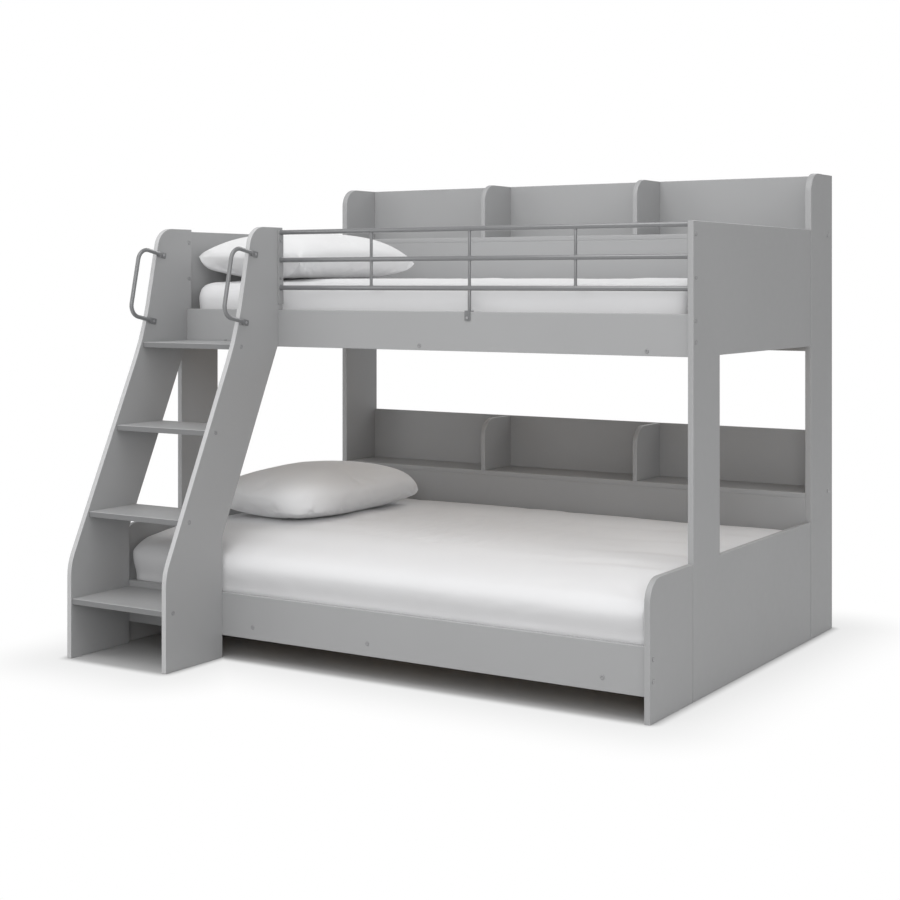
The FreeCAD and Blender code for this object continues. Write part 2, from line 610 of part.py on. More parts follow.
def mattress(name, front_edge, play, thickness, slats):
    """Level outlines stacked from the flat base over drawn-in sides and a rolled edge to the crown."""
    roll = dims.mattress_r
    width = dims.back - play - front_edge
    span = width / 2 - dims.mattress_corner
    low = roll * 0.4
    levels = [(0, low), (low * 0.3, low * 0.3), (low, 0), (thickness / 2, dims.mattress_draw),
              (thickness - roll, 0)]
    for degrees in (22.5, 45, 67.5, 90):
        angle = math.radians(degrees)
        levels.append((thickness - roll * (1 - math.sin(angle)), roll * (1 - math.cos(angle))))
    levels += [(thickness + dims.crown * 0.7, span * 0.3), (thickness + dims.crown, span * 0.6)]
    solid(name, stack([rounded(dims.mattress_length - 2 * inset, width - 2 * inset,
                               dims.mattress_corner, height) for height, inset in levels]))
    pieces[name].Placement.Base = V(0, front_edge + width / 2, extent(slats).ZMax + dims.soft_gap)


mattress("upper_mattress", dims.upper_mattress_front, dims.upper_play, dims.upper_mattress_t,
         "upper_slats")
mattress("lower_mattress", dims.lower_mattress_front, dims.lower_play, dims.lower_mattress_t,
         "lower_slats")


def pillow_outline(share, height):
    """Outline at a share of the pillow's rise: four bowed sides from corner to corner.

    The corners draw in as the square root of what is left of the rise, the middles of the sides
    as that of a half circle, so the seam is a rectangle with hollow sides and the top an oval."""
    steps = 6
    corner = math.sqrt(1 - share)
    middle = math.sqrt(1 - share * share) * (1 - dims.pillow_draw * (1 - share))
    points = []
    for quarter in range(4):
        turn = FreeCAD.Rotation(V(0, 0, 1), 90 * quarter)
        for step in range(steps):
            run = 1 - 2 * step / steps
            spot = turn.multVec(V(corner * run, middle + (corner - middle) * run * run, 0))
            points.append(V(spot.x * dims.pillow_width / 2, spot.y * dims.pillow_length / 2, height))
    return points


def pillow(name, base, place):
    """Outlines stacked from the flat underside out to the seam and over the plump top."""
    seam = dims.pillow_high * 0.22
    top = dims.pillow_high - seam
    outlines = [pillow_outline(share, seam * (1 - share / 0.55)) for share in (0.55, 0.3)]
    outlines += [pillow_outline(share, seam + top * share)
                 for share in (0, 0.2, 0.4, 0.6, 0.78, 0.91, 0.98)]
    solid(name, stack(outlines))
    pieces[name].Placement.Base = V(place, dims.pillow_y, extent(base).ZMax + dims.soft_gap)


pillow("upper_pillow", "upper_mattress", dims.upper_pillow_x)
pillow("lower_pillow", "lower_mattress", dims.lower_pillow_x)

# Clear the holes for bolts, nuts, dowels and screws.
for name, cutters in holes.items():
    blank = pieces[name]
    blank.Label = name + "_blank"
    tool = doc.addObject("Part::Feature", name + "_holes")
    tool.Shape = Part.makeCompound(cutters)
    drilled = doc.addObject("Part::Cut", name + "_drilled")
    drilled.Base = blank
    drilled.Tool = tool
    pieces[name] = drilled
for name, piece in pieces.items():
    piece.Label = name
doc.recompute()

faults = [item.Label for item in doc.Objects if "Invalid" in item.State or "Error" in item.State]
faults += [name for name, piece in pieces.items()
           if piece.Shape.isNull() or not piece.Shape.isValid() or not piece.Shape.Solids]
if faults:
    raise RuntimeError("faulty pieces: " + ", ".join(faults))
os.makedirs("parts", exist_ok=True)
for name, piece in pieces.items():
    piece.Shape.exportStep(f"parts/{name}.step")
print(len(pieces), "pieces,", sum(len(piece.Shape.Solids) for piece in pieces.values()), "solids")
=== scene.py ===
import math
import bpy
import numpy as np
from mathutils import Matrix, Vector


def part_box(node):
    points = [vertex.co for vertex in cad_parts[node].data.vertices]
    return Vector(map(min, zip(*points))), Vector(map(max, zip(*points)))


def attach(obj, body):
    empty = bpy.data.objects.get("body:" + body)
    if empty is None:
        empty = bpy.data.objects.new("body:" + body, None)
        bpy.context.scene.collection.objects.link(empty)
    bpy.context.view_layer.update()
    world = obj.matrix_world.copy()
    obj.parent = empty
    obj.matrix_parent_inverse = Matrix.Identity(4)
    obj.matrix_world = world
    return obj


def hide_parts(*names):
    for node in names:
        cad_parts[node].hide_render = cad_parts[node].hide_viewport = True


# Grey triple bunk bed: foil covered boards with softened edges, a powder coated guard rail and grab
# handles, pine bed bases and white bedding. Lengths are in metres, X along the bed, Y to the back.

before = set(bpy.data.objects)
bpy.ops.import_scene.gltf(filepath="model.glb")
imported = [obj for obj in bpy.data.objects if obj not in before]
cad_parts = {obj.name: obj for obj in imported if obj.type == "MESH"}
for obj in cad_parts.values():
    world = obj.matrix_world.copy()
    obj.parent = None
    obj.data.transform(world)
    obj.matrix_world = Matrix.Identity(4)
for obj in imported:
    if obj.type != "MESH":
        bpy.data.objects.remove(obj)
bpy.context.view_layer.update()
scene = bpy.context.scene

# The end panels' front edge and outer face, a board's thickness and the softening of its edges
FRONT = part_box("left_end_panel")[0][1]
END_FACE = 1.008
BOARD = 0.018
EDGE = 0.0016


# Finishes

def add(tree, kind, options=None, **inputs):
    """One shader node with its options set and its inputs given as values or linked from sockets."""
    made = tree.nodes.new("ShaderNode" + kind)
    for name, value in (options or {}).items():
        setattr(made, name, value)
    for name, value in inputs.items():
        socket = made.inputs[int(name[1:])] if name[1:].isdigit() else made.inputs[name.replace("_", " ")]
        if isinstance(value, bpy.types.NodeSocket):
            tree.links.new(value, socket)
        else:
            socket.default_value = value
    return made.outputs


def start_finish(name, **sockets):
    """A material with its shader's constant sockets set, its tree and its object coordinates."""
    material = bpy.data.materials.new(name)
    material.use_nodes = True
    tree = material.node_tree
    shader = tree.nodes["Principled BSDF"]
    for label, value in sockets.items():
        shader.inputs[label.replace("_", " ")].default_value = value
    return material, tree, shader, add(tree, "TexCoord")["Object"]


def scaled(tree, coords, scale):
    """Coordinates multiplied by three factors."""
    return add(tree, "Mapping", Vector=coords, Scale=scale)["Vector"]


def span(tree, value, low, high):
    """A 0 to 1 value spread between two bounds."""
    return add(tree, "MapRange", None, Value=value, To_Min=low, To_Max=high)["Result"]


def noise(tree, coords, scale, detail=2.0, rough=0.5):
    """A cloudy value from 0 to 1."""
    return add(tree, "TexNoise", None, Vector=coords, Scale=scale, Detail=detail, Roughness=rough)["Fac"]


def reckon(tree, operation, first, second):
    """The sum, product, larger or smaller of two values."""
    return add(tree, "Math", {"operation": operation}, _0=first, _1=second)[0]


def blend_colour(tree, share, first, second):
    """A mix of two colours by a share from 0 to 1."""
    return add(tree, "Mix", {"data_type": "RGBA"}, Factor=share, _6=first, _7=second)[2]


def tones(tree, share, colour, low, high):
    """A colour that runs between two strengths of itself."""
    return blend_colour(tree, share, [c * low for c in colour] + [1], [c * high for c in colour] + [1])


def raise_bump(tree, shader, height, strength, depth, under=None):
    """A bump from a height, over an earlier bump where one is given."""
    bump = add(tree, "Bump", None, Height=height, Strength=strength, Distance=depth)["Normal"]
    if under is not None:
        tree.links.new(under, bump.node.inputs["Normal"])
    tree.links.new(bump, shader.inputs["Normal"])
    return bump


def foil_finish(name, grey, light):
    """Satin grey foil: faint clouding, a fine speckle, and edge arcs lightened in patches by the attribute
    that slab writes: a painted highlight.
    """
    material, tree, shader, coords = start_finish(name, Specular_IOR_Level=0.42)
    cloud = noise(tree, coords, 2.3, 3.0)
    speckle = noise(tree, coords, 620.0, 2.0, 0.7)
    base = tones(tree, cloud, grey, 0.96, 1.04)
    spotted = blend_colour(tree, span(tree, speckle, 0.0, 0.10), base, light + [1])
    # Painted highlight: edge arcs lightened towards the pale colour, in patches
    highlight_share = add(tree, "Attribute", {"attribute_name": "painted_edge_light"})["Fac"]
    uneven = span(tree, noise(tree, coords, 9.0, 4.0), 0.1, 0.6)
    patch = reckon(tree, "MULTIPLY", highlight_share, uneven)
    tree.links.new(blend_colour(tree, patch, spotted, light + [1]), shader.inputs["Base Color"])
    tree.links.new(span(tree, noise(tree, coords, 45.0, 3.0), 0.40, 0.55), shader.inputs["Roughness"])
    wave = raise_bump(tree, shader, noise(tree, coords, 5.0, 1.0), 0.05, 0.004)
    raise_bump(tree, shader, speckle, 0.05, 0.0004, wave)
    return material


def coat_finish(name, grey):
    """Satin powder coat: orange peel a millimetre across, and a little tone from place to place."""
    material, tree, shader, coords = start_finish(name, Specular_IOR_Level=0.7, Coat_Weight=0.8,
                                                  Coat_Roughness=0.16)
    tone = noise(tree, coords, 14.0, 3.0)
    tree.links.new(tones(tree, tone, grey, 0.92, 1.08), shader.inputs["Base Color"])
    tree.links.new(span(tree, noise(tree, coords, 80.0), 0.26, 0.38), shader.inputs["Roughness"])
    raise_bump(tree, shader, noise(tree, coords, 900.0, 1.0), 0.10, 0.0004)
    return material


def zinc_finish(name, grey):
    """Zinc plated steel: brushed streaks and cloudy crystals in its tone and roughness."""
    material, tree, shader, coords = start_finish(name, Metallic=0.85)
    crystal = noise(tree, coords, 210.0, 3.0, 0.6)
    tree.links.new(tones(tree, crystal, grey, 0.8, 1.2), shader.inputs["Base Color"])
    tree.links.new(span(tree, crystal, 0.32, 0.55), shader.inputs["Roughness"])
    raise_bump(tree, shader, noise(tree, scaled(tree, coords, (3000, 400, 3000)), 1.0), 0.06, 0.0002)
    return material


def pine_finish(name, along):
    """Planed pine: yearly rings stretched along the grain, darker lines and pores."""
    material, tree, shader, coords = start_finish(name, Specular_IOR_Level=0.3)
    stretch = [1.0, 1.0, 1.0]
    stretch[along] = 0.05
    drawn = scaled(tree, coords, stretch)
    bend = noise(tree, drawn, 9.0, 3.0)
    rings = add(tree, "TexWave", {"wave_type": "RINGS", "rings_direction": "XYZ"[along]},
                Vector=drawn, Scale=34.0, Distortion=7.0, Detail=3.0, Detail_Scale=1.6)["Fac"]
    fine = [4.0 if axis == along else 420.0 for axis in range(3)]
    fibre = noise(tree, scaled(tree, coords, fine), 1.0, 2.0)
    pale = blend_colour(tree, bend, [0.66, 0.47, 0.27, 1], [0.74, 0.56, 0.35, 1])
    ringed = blend_colour(tree, span(tree, rings, 0.0, 0.42), pale, [0.45, 0.26, 0.11, 1])
    tree.links.new(blend_colour(tree, span(tree, fibre, 0.0, 0.25), ringed, [0.50, 0.33, 0.17, 1]),
                   shader.inputs["Base Color"])
    tree.links.new(span(tree, fibre, 0.55, 0.75), shader.inputs["Roughness"])
    raise_bump(tree, shader, fibre, 0.12, 0.0006)
    return material


def cotton_finish(name, white, pitch):
    """Woven cotton: threads crossing along X, Y and Z, slubs, faint shade and a soft sheen."""
    material, tree, shader, coords = start_finish(name, Specular_IOR_Level=0.15, Sheen_Weight=0.25,
                                                  Sheen_Roughness=0.5)
    threads = None
    for axis in "XYZ":
        wave = add(tree, "TexWave", {"wave_type": "BANDS", "bands_direction": axis},
                   Vector=coords, Scale=0.314 / pitch, Distortion=0.6, Detail=1.0)["Fac"]
        threads = wave if threads is None else reckon(tree, "ADD", threads, wave)
    slub = noise(tree, coords, 260.0, 2.0)
    shade = noise(tree, coords, 6.0, 3.0)
    base = tones(tree, shade, white, 0.97, 1.0)
    tree.links.new(blend_colour(tree, span(tree, slub, 0.0, 0.12), base, [c * 0.88 for c in white] + [1]),
                   shader.inputs["Base Color"])
    tree.links.new(span(tree, slub, 0.80, 0.95), shader.inputs["Roughness"])
    crumple = raise_bump(tree, shader, noise(tree, coords, 24.0, 4.0), 0.10, 0.004)
    raise_bump(tree, shader, threads, 0.20, 0.0002, crumple)
    return material


board_grey = foil_finish("grey_foil", [0.368, 0.370, 0.374], [0.47, 0.473, 0.477])
# A lighter copy of the foil for the ladder sides' cut edges: a painted highlight
highlight_band_foil = foil_finish("light_edging", [0.52, 0.522, 0.526], [0.58, 0.582, 0.586])
# A darker copy of the foil for the treads' front faces: painted shade
shade_strip_foil = foil_finish("grey_edging", [0.205, 0.207, 0.210], [0.29, 0.292, 0.295])
tube_grey = coat_finish("grey_powder_coat", [0.170, 0.173, 0.178])
strap_grey = coat_finish("grey_strap_coat", [0.30, 0.302, 0.306])
zinc = zinc_finish("zinc_plate", [0.42, 0.42, 0.43])
cap_grey = coat_finish("grey_bolt_cap", [0.27, 0.272, 0.276])
pine = {axis: pine_finish("pine_along_" + "xyz"[axis], axis) for axis in range(3)}
sheet_white = cotton_finish("white_cotton_sheet", [0.755, 0.755, 0.764], 0.0011)
case_white = cotton_finish("white_pillow_case", [0.77, 0.77, 0.776], 0.0009)


# Surfaces

CORNER_SOFT, ARC_STEP = 0.002, 0.12


def ramp(value, start, length):
    """Nothing before the start, one beyond the length, a straight line between."""
    return np.clip((value - start) / length, 0, 1)


def eased(share):
    """A share from 0 to 1 as a smooth step: three times its square less twice its cube."""
    return share * share * (3 - 2 * share)


def grid_faces(rows, columns):
    """Quads of a grid numbered row by row, its columns closed into a ring."""
    row = np.arange(rows - 1)[:, None] * columns
    column = np.arange(columns)[None, :]
    after = (column + 1) % columns
    faces = np.stack([row + column, row + after, row + columns + after, row + columns + column], axis=-1)
    return faces.reshape(-1, 4)


def end_caps(rows, columns):
    """The first ring of such a grid, turned over, and its last ring."""
    return [np.arange(columns)[::-1], np.arange(columns) + (rows - 1) * columns]


def face_outward(rings, row, centre, quads, ends):
    """Faces turned over where the first quad after a ring looks towards the ring's centre."""
    here = rings[row, 0]
    normal = np.cross(rings[row, 1] - here, rings[row + 1, 0] - here)
    if normal @ (here - centre) < 0:
        return quads[:, ::-1], [end[::-1] for end in ends]
    return quads, ends


def join(shells):
    """Several (points, quads, caps, painted highlight share) shells as one."""
    points, quads, caps, painted_edge_light, count = [], [], [], [], 0
    for shell in shells:
        points.append(shell[0])
        quads.append(shell[1] + count)
        caps += [cap + count for cap in shell[2]]
        painted_edge_light.append(shell[3])
        count += len(shell[0])
    return np.concatenate(points), np.concatenate(quads), caps, np.concatenate(painted_edge_light)


def make(name, shells, finish, nodes, body="frame"):
    """A piece made of shells: its mesh, finish, body, slot and the CAD nodes that it stands for."""
    points, quads, caps, painted_edge_light = join(shells)
    mesh = bpy.data.meshes.new(name)
    mesh.from_pydata(points, [], quads.tolist() + [cap.tolist() for cap in caps])
    smooth = np.arange(len(mesh.polygons)) < len(quads)
    mesh.polygons.foreach_set("use_smooth", smooth)
    # Each point's share of the painted edge highlight, read by the foil finish
    mesh.attributes.new("painted_edge_light", "FLOAT", "POINT").data.foreach_set("value", painted_edge_light.astype(np.float32))
    mesh.materials.append(finish)
    piece = bpy.data.objects.new(name, mesh)
    scene.collection.objects.link(piece)
    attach(piece, body)
    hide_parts(*nodes)
    return piece


def cut_outline(corners):
    """Closed outline through (a, b, radius) corners, anticlockwise, each corner an arc that touches
    both of its sides; a corner without a radius is softened by two millimetres."""
    spots = np.array([corner[:2] for corner in corners], float)
    runs = []
    for here, before, after, corner in zip(spots, np.roll(spots, 1, 0), np.roll(spots, -1, 0), corners):
        radius = corner[2] if len(corner) > 2 else CORNER_SOFT
        u = (before - here) / np.linalg.norm(before - here)
        v = (after - here) / np.linalg.norm(after - here)
        half = np.arccos(np.clip(u @ v, -1, 1)) / 2
        centre = here + (u + v) / np.linalg.norm(u + v) * radius / np.sin(half)
        first, last = here + u * radius / np.tan(half) - centre, here + v * radius / np.tan(half) - centre
        begin = np.arctan2(first[1], first[0])
        turn = (np.arctan2(last[1], last[0]) - begin + np.pi) % (2 * np.pi) - np.pi
        angle = begin + turn * np.linspace(0, 1, max(4, int(abs(turn) / ARC_STEP) + 2))
        runs.append(centre + radius * np.stack([np.cos(angle), np.sin(angle)], axis=-1))
    return np.concatenate(runs)


def slab(outline, axis, low, high, edge=EDGE):
    """A board: the outline carried across its thickness by an edge profile of a quarter arc, a straight
    side and a quarter arc. A ring's points are the outline moved inward along the mitre of its two
    neighbouring sides by the profile's inset. Both faces are caps."""
    angle = np.linspace(0, np.pi / 2, 5)
    inset = edge * np.concatenate([1 - np.sin(angle), 1 - np.cos(angle)])
    level = np.concatenate([low + edge * (1 - np.cos(angle)), high - edge + edge * np.sin(angle)])
    # The share of painted highlight at each ring, highest halfway round each edge arc
    highlight_share = np.sin(2 * np.concatenate([angle, angle]))
    side = np.roll(outline, -1, 0) - outline
    normal = np.stack([side[:, 1], -side[:, 0]], axis=-1) / np.linalg.norm(side, axis=1)[:, None]
    other = np.roll(normal, 1, 0)
    mitre = (normal + other) / (1 + (normal * other).sum(1))[:, None]
    rings = outline[None] - inset[:, None, None] * mitre[None]
    count = len(outline)
    points = np.empty((len(level), count, 3))
    points[:, :, (axis + 1) % 3] = rings[:, :, 0]
    points[:, :, (axis + 2) % 3] = rings[:, :, 1]
    points[:, :, axis] = level[:, None]
    return (points.reshape(-1, 3), grid_faces(len(level), count), end_caps(len(level), count),
            np.repeat(highlight_share, count))


def plank(low, high, axis, edge=EDGE):
    """A rectangular board that fills a box, with its thickness along the axis."""
    a, b = (axis + 1) % 3, (axis + 2) % 3
    return slab(cut_outline([(low[a], low[b]), (high[a], low[b]), (high[a], high[b]), (low[a], high[b])]),
                axis, low[axis], high[axis], edge)


def board(node, axis, edge=EDGE, finish=board_grey):
    """A rectangular board in the place of its CAD node."""
    low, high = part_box(node)
    make(node + "_board", [plank(low, high, axis, edge)], finish, [node])


def panel(node, corners):
    """An upright board across the bed, cut to (depth, height) corners counted from the front edge."""
    low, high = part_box(node)
    shifted = [(corner[0] + FRONT, *corner[1:]) for corner in corners]
    cut = slab(cut_outline(shifted), 0, low[0], high[0])
    return make(node + "_board", [cut], board_grey, [node])


def carried(centres, tangents, side, half_u, half_v, power, sides=24):
    """A closed section carried along a path. The section is a superellipse, |u|^p + |v|^p = 1, with u
    across the path and v along the fixed side vector; its half sizes and power may change on the way."""
    angle = 2 * np.pi * np.arange(sides) / sides
    c, s = np.cos(angle)[None], np.sin(angle)[None]
    exponent = 2 / np.asarray(power, float)[:, None]
    u = np.sign(c) * np.abs(c) ** exponent * np.asarray(half_u)[:, None]
    v = np.sign(s) * np.abs(s) ** exponent * np.asarray(half_v)[:, None]
    over = np.cross(tangents, side)
    over /= np.linalg.norm(over, axis=1)[:, None]
    third = np.cross(over, tangents)
    points = centres[:, None] + u[..., None] * over[:, None] + v[..., None] * third[:, None]
    count = len(centres)
    quads, ends = face_outward(points, 0, centres[0], grid_faces(count, sides), end_caps(count, sides))
    return points.reshape(-1, 3), quads, ends, np.zeros(count * sides)


def straight(start, end, radius, sides=24):
    """A straight round bar whose ends are softened by a small arc."""
    start, end = np.array(start, float), np.array(end, float)
    way = (end - start) / np.linalg.norm(end - start)
    soft = min(0.001, radius * 0.2)
    angle = np.linspace(0, np.pi / 2, 4)
    length = np.linalg.norm(end - start)
    along = np.concatenate([soft * (1 - np.cos(angle)), length - soft * (1 - np.sin(angle))])
    size = radius - soft * np.concatenate([1 - np.sin(angle), 1 - np.cos(angle)])
    side = np.array([0.0, 0, 1]) if abs(way[2]) < 0.5 else np.array([1.0, 0, 0])
    return carried(start + along[:, None] * way, np.tile(way, (len(along), 1)), side, size, size,
                   np.full(len(along), 2.0), sides)


def bead(path, radius, sides=8):
    """A weld bead: a small circle carried round a closed path, upright in the path's own frame."""
    tangent = np.roll(path, -1, 0) - np.roll(path, 1, 0)
    tangent /= np.linalg.norm(tangent, axis=1)[:, None]
    out = path - path.mean(0)
    out -= (out * tangent).sum(1)[:, None] * tangent
    out /= np.linalg.norm(out, axis=1)[:, None]
    up = np.cross(tangent, out)
    angle = 2 * np.pi * np.arange(sides) / sides
    points = (path[:, None] + radius * np.cos(angle)[None, :, None] * out[:, None]
              + radius * np.sin(angle)[None, :, None] * up[:, None])
    count = len(path) * sides
    quads, ends = face_outward(points, 0, path[0], grid_faces(len(path) + 1, sides) % count, [])
    return points.reshape(-1, 3), quads, ends, np.zeros(count)


CAP_RADIUS, CAP_HEIGHT, SHANK_RADIUS, BOLT_LENGTH = 0.007, 0.002, 0.003, 0.05
SCREW_HEAD, SCREW_HEIGHT, SCREW_SHANK = 0.0045, 0.002, 0.002


def bolt(start, way, depth, head_r, head_h, shank_r, key=0.42, sides=24):
    """A bolt turned about its axis: from the middle of the key recess out over the rounded rim of the
    head and down the shank. The recess is a hexagon, its radius 1 / cos of the angle from the nearest
    flat, which the profile mixes with the circle of the head."""
    start, way = np.array(start, float), np.array(way, float)
    side = np.array([0.0, 0, 1]) if abs(way[2]) < 0.5 else np.array([1.0, 0, 0])
    over = np.cross(way, side)
    angle = 2 * np.pi * np.arange(sides) / sides
    hexagon = np.cos(np.pi / 6) / np.cos((angle + np.pi / 6) % (np.pi / 3) - np.pi / 6)
    k = head_r * key
    rim = min(head_h * 0.6, head_r * 0.2)
    arc = np.linspace(0, np.pi / 2, 4)
    radius = np.concatenate([[k * 0.2, k, k, k * 1.12], head_r - rim * (1 - np.sin(arc)),
                             [head_r, shank_r, shank_r]])
    drop = np.concatenate([[-0.2 * head_h, -0.2 * head_h, -0.95 * head_h, -head_h],
                           -head_h + rim * (1 - np.cos(arc)), [0, 0, depth]])
    share = np.concatenate([[1, 1, 1, 0.7], np.zeros(len(radius) - 4)])
    ring = radius[:, None] * (share[:, None] * hexagon[None] + (1 - share[:, None]))
    points = (start + drop[:, None, None] * way
              + ring[..., None] * (np.cos(angle)[None, :, None] * side + np.sin(angle)[None, :, None] * over))
    count = len(radius)
    quads, ends = face_outward(points, -2, start + drop[-2] * way, grid_faces(count, sides),
                               end_caps(count, sides))
    return points.reshape(-1, 3), quads, ends, np.zeros(count * sides)


def cap_bolt(start, way, length=BOLT_LENGTH):
    """A furniture bolt with a flat cap."""
    return bolt(start, way, length, CAP_RADIUS, CAP_HEIGHT, SHANK_RADIUS)


def screw(start, way, length):
    """A small screw of the same form."""
    return bolt(start, way, length, SCREW_HEAD, SCREW_HEIGHT, SCREW_SHANK)


# Boards, each outline as (depth behind FRONT, height, corner radius)

END = [(0, 0), (0.944, 0), (0.944, 0.402), (0.188, 0.402), (0.188, 1.005), (0.944, 1.005), (0.944, 1.405),
       (0, 1.405)]
EXTENSION = [(-0.282, 0), (-0.003, 0), (-0.003, 0.402), (-0.282, 0.402, 0.068)]
TALL = [(0.948, 0), (1.153, 0), (1.153, 1.602), (0.948, 1.602, 0.068)]
LADDER = [(-0.530, 0), (-0.270, 0), (-0.270, 0.395), (0.009, 1.012), (0.009, 1.131), (0.032, 1.131),
          (0.032, 1.412), (-0.123, 1.412, 0.070), (-0.197, 1.052, 0.900), (-0.530, 0.306, 0.180)]
DIVIDER_ROUND = 0.066
EDGE_ROWS, FIRST_BANDED, LAST_BANDED = 9, 2, 6
# The painted shade strip on each tread's front: its depth, softening and how far its top sits below the
# tread's
SHADE_STRIP, SHADE_STRIP_SOFT, SHADE_STRIP_DROP, TREAD_SOFT = 0.002, 0.0006, 0.0015, 0.002


def paint_highlight_band(piece, finish):
    """Paint a slab's cut edge with a second finish, the middle five of its nine rows of quads; used for a
    lighter foil as a painted highlight.
    """
    faces = len(piece.data.polygons)
    row = np.arange(faces) // ((faces - 2) // EDGE_ROWS)
    banded = (row >= FIRST_BANDED) & (row <= LAST_BANDED)
    piece.data.materials.append(finish)
    piece.data.polygons.foreach_set("material_index", banded.astype(np.int32))


for hand in ("left", "right"):
    panel(hand + "_end_panel", END)
    panel(hand + "_extension_panel", EXTENSION)
    panel(hand + "_tall_panel", TALL)
    # The ladder sides' cut edges in the lighter foil: painted highlight
    paint_highlight_band(panel(f"ladder_{hand}_side", LADDER), highlight_band_foil)
for level in ("upper", "lower"):
    board(level + "_front_rail", 1)
    board(level + "_back_fascia", 1)
    board(level + "_shelf", 2)
    board(level + "_back_board", 1)
    for hand in ("left", "right"):
        node = f"{level}_{hand}_divider"
        low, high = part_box(node)
        near, far = low[1] - FRONT, high[1] - FRONT
        panel(node, [(near, low[2]), (far, low[2]), (far, high[2]), (near, high[2], DIVIDER_ROUND)])
for number in range(1, 5):
    node = f"tread_{number}"
    low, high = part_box(node)
    # Each tread's front two millimetres are a separate strip in the darker foil: painted shade on the front
    # edge
    seam = low[1] + SHADE_STRIP
    tread = plank((low[0], seam, low[2]), high, 2, TREAD_SOFT)
    strip = plank(low, (high[0], seam, high[2] - SHADE_STRIP_DROP), 1, SHADE_STRIP_SOFT)
    make(node + "_board", [tread], board_grey, [node])
    make(node + "_edging", [strip], shade_strip_foil, [node])

# Bed bases

SLATS, SLAT_WIDE, SLAT_SOFT = 13, 0.070, 0.003
STRETCHER_HALF, BATTEN_SOFT = 0.020, 0.002
STRETCHERS = {"upper": (-0.792, 0.030, 0.852), "lower": (-0.792, -0.428, 0.030, 0.852)}


def crossing_row(name, node, starts, wide, soft):
    """Boards of one width laid across the bed, each from its own start along it."""
    low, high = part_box(node)
    row = [plank((x, low[1], low[2]), (x + wide, high[1], high[2]), 2, soft) for x in starts]
    make(name, row, pine[1], [node])


for level, places in STRETCHERS.items():
    low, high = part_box(level + "_slats")
    starts = np.linspace(low[0], high[0] - SLAT_WIDE, SLATS)
    crossing_row(level + "_slat_row", level + "_slats", starts, SLAT_WIDE, SLAT_SOFT)
    crossing_row(level + "_stretcher_row", level + "_stretchers", np.array(places) - STRETCHER_HALF,
                 2 * STRETCHER_HALF, BATTEN_SOFT)
    for where in ("front", "back"):
        board(f"{level}_{where}_batten", 2, BATTEN_SOFT, pine[0])
board("centre_beam", 2, BATTEN_SOFT, pine[0])
board("centre_leg", 2, BATTEN_SOFT, pine[2])

# Guard rail

TUBE_RADIUS, UPRIGHT_RADIUS, UPRIGHT_SINK, ROUND = 0.008, 0.005, 0.006, 28
END_WELD, END_WELD_RING, END_WELD_IN = 0.0016, 0.0085, 0.0005
SADDLE_WELD, SADDLE_WELD_RING = 0.0014, 0.0053
STRAP_SOFT = 0.0008
CLIP_THICK, CLIP_SOFT, CLIP_HALF, CLIP_DROP, CLIP_EDGE = 0.0036, 0.0008, 0.0105, 0.028, 0.0006
RAIL_SET_BACK, ROD_RADIUS, ROD_SINK = 0.009, 0.0055, 0.002

low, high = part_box("guard_top_tube")
guard_y = (low[1] + high[1]) / 2
turn = 2 * np.pi * np.arange(ROUND) / ROUND
levels = []
for name in ("top", "middle", "bottom"):
    low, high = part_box(f"guard_{name}_tube")
    z = (low[2] + high[2]) / 2
    levels.append(z)
    shells = [straight((low[0], guard_y, z), (high[0], guard_y, z), TUBE_RADIUS, 32)]
    for x in (low[0] + END_WELD_IN, high[0] - END_WELD_IN):
        ring = [np.full(ROUND, x), guard_y + END_WELD_RING * np.cos(turn), z + END_WELD_RING * np.sin(turn)]
        shells.append(bead(np.stack(ring, axis=-1), END_WELD))
    make(f"guard_{name}_bar", shells, tube_grey, [f"guard_{name}_tube"])

# An upright's weld goes round it as a circle and rises and falls with the tube that it meets
left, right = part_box("guard_left_end_bar")[0][0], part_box("guard_right_end_bar")[1][0]
across, along = SADDLE_WELD_RING * np.sin(turn), SADDLE_WELD_RING * np.cos(turn)
saddle = np.sqrt(TUBE_RADIUS ** 2 - across ** 2)
uprights = []
for share in (0.25, 0.5, 0.75):
    x = left + (right - left) * share
    for top, bottom in zip(levels, levels[1:]):
        uprights.append(straight((x, guard_y, bottom + UPRIGHT_SINK), (x, guard_y, top - UPRIGHT_SINK),
                                 UPRIGHT_RADIUS))
        for rise in (bottom + saddle, top - saddle):
            uprights.append(bead(np.stack([x + along, guard_y + across, rise], axis=-1), SADDLE_WELD))
make("guard_upright_bars", uprights, tube_grey, ["guard_uprights"])
for hand in ("left", "right"):
    board(f"guard_{hand}_end_bar", 0, STRAP_SOFT, strap_grey)

# The bracket: a clip over the upper rail's top and front, and a rod from it up to the bottom tube
low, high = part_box("guard_bracket")
middle, rail_top = (low[0] + high[0]) / 2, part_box("upper_front_rail")[1][2]
face, inner = FRONT + RAIL_SET_BACK, guard_y + RAIL_SET_BACK
outer, foot, head = face - CLIP_THICK, rail_top - CLIP_DROP, rail_top + CLIP_THICK
clip = [(outer, foot), (face, foot), (face, rail_top), (inner, rail_top), (inner, head), (outer, head)]
clip = cut_outline([(*corner, CLIP_SOFT) for corner in clip])
rod = straight((middle, guard_y, rail_top + ROD_SINK), (middle, guard_y, levels[2] - UPRIGHT_SINK),
               ROD_RADIUS)
make("guard_bracket_board", [slab(clip, 0, middle - CLIP_HALF, middle + CLIP_HALF, CLIP_EDGE), rod],
     tube_grey, ["guard_bracket"])

# Grab handles

